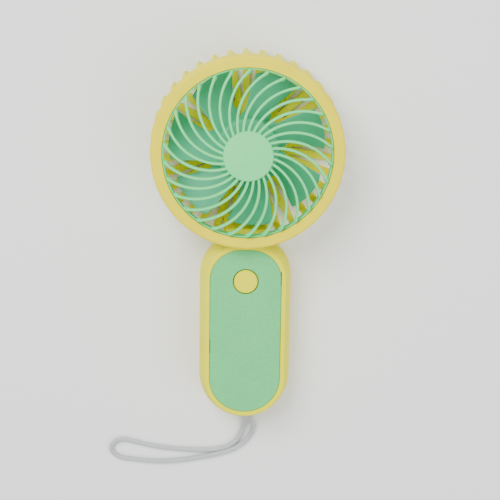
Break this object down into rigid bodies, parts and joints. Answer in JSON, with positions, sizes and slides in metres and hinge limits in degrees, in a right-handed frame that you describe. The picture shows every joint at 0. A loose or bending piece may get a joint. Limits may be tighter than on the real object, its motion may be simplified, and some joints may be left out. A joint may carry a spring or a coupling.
{
  "type": "handheld electric fan",
  "caption": "Battery-powered handheld fan: round slatted head with swirl grille and axial impeller on a rounded handle with inset panel, push button and wrist strap.",
  "frame": {"origin": "middle of the footprint of the fan lying on its back, on the surface it lies on; the wrist strap is not counted", "axes": "+Z out of the front of the fan, along the spindle; +Y towards the head, -Y towards the handle; +X to the right seen from the front"},
  "size_m": [0.1265, 0.2353, 0.0433],
  "materials": {
    "mint": "fine satin grain",
    "panel_mint": "fine grained matt",
    "yellow": "fine satin grain",
    "yellow_rear": "fine satin grain",
    "yellow_handle": "fine satin grain",
    "yellow_button": "fine satin grain",
    "green": "satin",
    "motor_steel": "zinc plated",
    "shaft_steel": "ground",
    "screw_steel": "zinc plated",
    "motor_plastic": "as moulded",
    "magnet": "sintered ferrite",
    "bronze": "sintered bronze",
    "contact_copper": "copper",
    "contact_brass": "stamped",
    "lamination": "stacked sheet",
    "coil_copper": "enamelled copper wire",
    "wire_red": "soft sleeve",
    "wire_black": "soft sleeve",
    "switch_black": "as moulded",
    "plunger_white": "as moulded",
    "board_green": "solder mask",
    "chip_black": "moulded epoxy",
    "capacitor": "fired",
    "ferrite": "sintered",
    "led": "clear-white epoxy",
    "usb_steel": "nickel plated",
    "cell_foil": "laminated foil pouch",
    "pad_foam": "closed-cell foam",
    "crimp_metal": "crimped sleeve",
    "cord_fabric": "braided cord"
  },
  "bodies": {
    "fan_body": {"front_grille": "mint", "bezel_ring": "yellow", "rear_cover": "yellow_rear", "rear_cap": "yellow_rear", "motor_can": "motor_steel", "motor_end_cap": "motor_plastic", "motor_magnets": "magnet", "motor_bushings": "bronze", "motor_brushes": "contact_copper", "motor_terminals": "contact_brass", "motor_screws": "screw_steel", "motor_wire_red": "wire_red", "motor_wire_black": "wire_black", "handle_rear_shell": "yellow_handle", "handle_front_shell": "yellow_handle", "front_panel": "panel_mint", "switch_body": "switch_black", "control_board": "board_green", "board_chips": "chip_black", "board_capacitors": "capacitor", "boost_inductor": "ferrite", "status_led": "led", "usb_shell": "usb_steel", "usb_tongue": "chip_black", "battery_cell": "cell_foil", "battery_pad": "pad_foam", "battery_wire_red": "wire_red", "battery_wire_black": "wire_black", "neck_screws": "screw_steel", "board_screws": "screw_steel", "case_screws": "screw_steel", "strap_crimp": "crimp_metal", "strap_cord": "cord_fabric"},
    "rotor": {"impeller": "green", "motor_shaft": "shaft_steel", "armature_core": "lamination", "armature_coils": "coil_copper", "commutator": "contact_copper"},
    "button": {"power_button": "yellow_button", "switch_plunger": "plunger_white"}
  },
  "joints": [
    {"name": "rotor_spin", "type": "hinge", "parent": "fan_body", "child": "rotor", "pos_m": [0, 0.04925, 0.0165], "axis": [0, 0, -1], "continuous": true},
    {"name": "button_press", "type": "slide", "parent": "fan_body", "child": "button", "axis": [0, 0, -1], "range_m": [0, 0.0004], "stiffness_N_per_m": 600, "springref_m": -0.0004}
  ]
}
